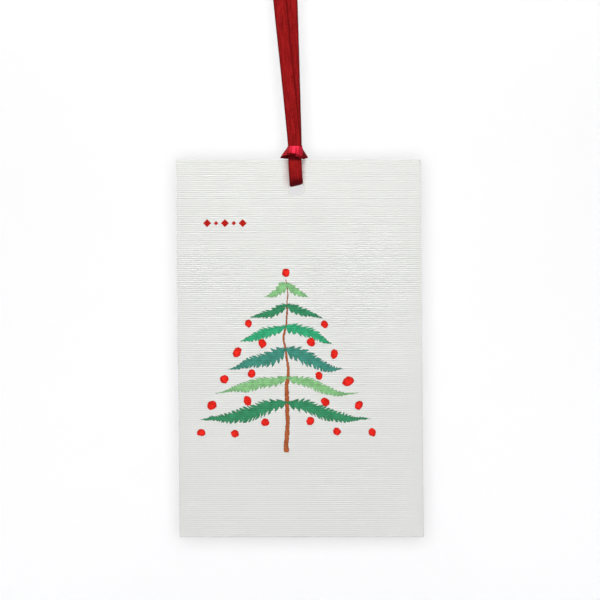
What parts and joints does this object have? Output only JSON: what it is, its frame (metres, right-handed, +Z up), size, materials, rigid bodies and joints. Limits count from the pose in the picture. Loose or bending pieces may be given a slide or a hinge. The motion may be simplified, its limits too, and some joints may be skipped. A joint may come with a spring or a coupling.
{
  "type": "christmas gift tag",
  "caption": "Flat upright gift tag of ribbed white card with a punched hole, hanging from a doubled satin ribbon that is knotted at the card's top edge and at its ends.",
  "frame": {"origin": "the hang point, where a hook or twig comes between the two strands of ribbon, right under the knot in their ends", "axes": "+Z up along the hanging ribbon, +X to the right and +Y away from someone who looks at the printed face of the card"},
  "size_m": [0.0557, 0.0025, 0.1402],
  "materials": {
    "card": "matt white card embossed with fine level ribs, with a small printed motif",
    "ribbon": "dark red double-faced satin ribbon with woven selvedges"
  },
  "bodies": {
    "ribbon": {"ribbon_end_knot": "ribbon", "ribbon_left_tail": "ribbon", "ribbon_right_tail": "ribbon", "ribbon_front_strand": "ribbon", "ribbon_rear_strand": "ribbon"},
    "knot": {"ribbon_knot": "ribbon"},
    "loop": {"ribbon_hole_loop": "ribbon"},
    "card": {"tag_card": "card"}
  },
  "joints": [
    {"name": "ribbon_twist", "type": "hinge", "parent": "ribbon", "child": "knot", "pos_m": [0.00248, 0, -0.0402], "axis": [0, 0, 1], "range_deg": [-90, 90], "stiffness_Nm_per_rad": 0.00002},
    {"name": "card_swing", "type": "hinge", "parent": "knot", "child": "loop", "pos_m": [0.00248, 0, -0.0419], "axis": [1, 0, 0], "range_deg": [-60, 60]},
    {"name": "card_tilt", "type": "hinge", "parent": "loop", "child": "card", "pos_m": [0.00331, 0, -0.0485], "axis": [0, 1, 0], "range_deg": [-4, 4]}
  ]
}
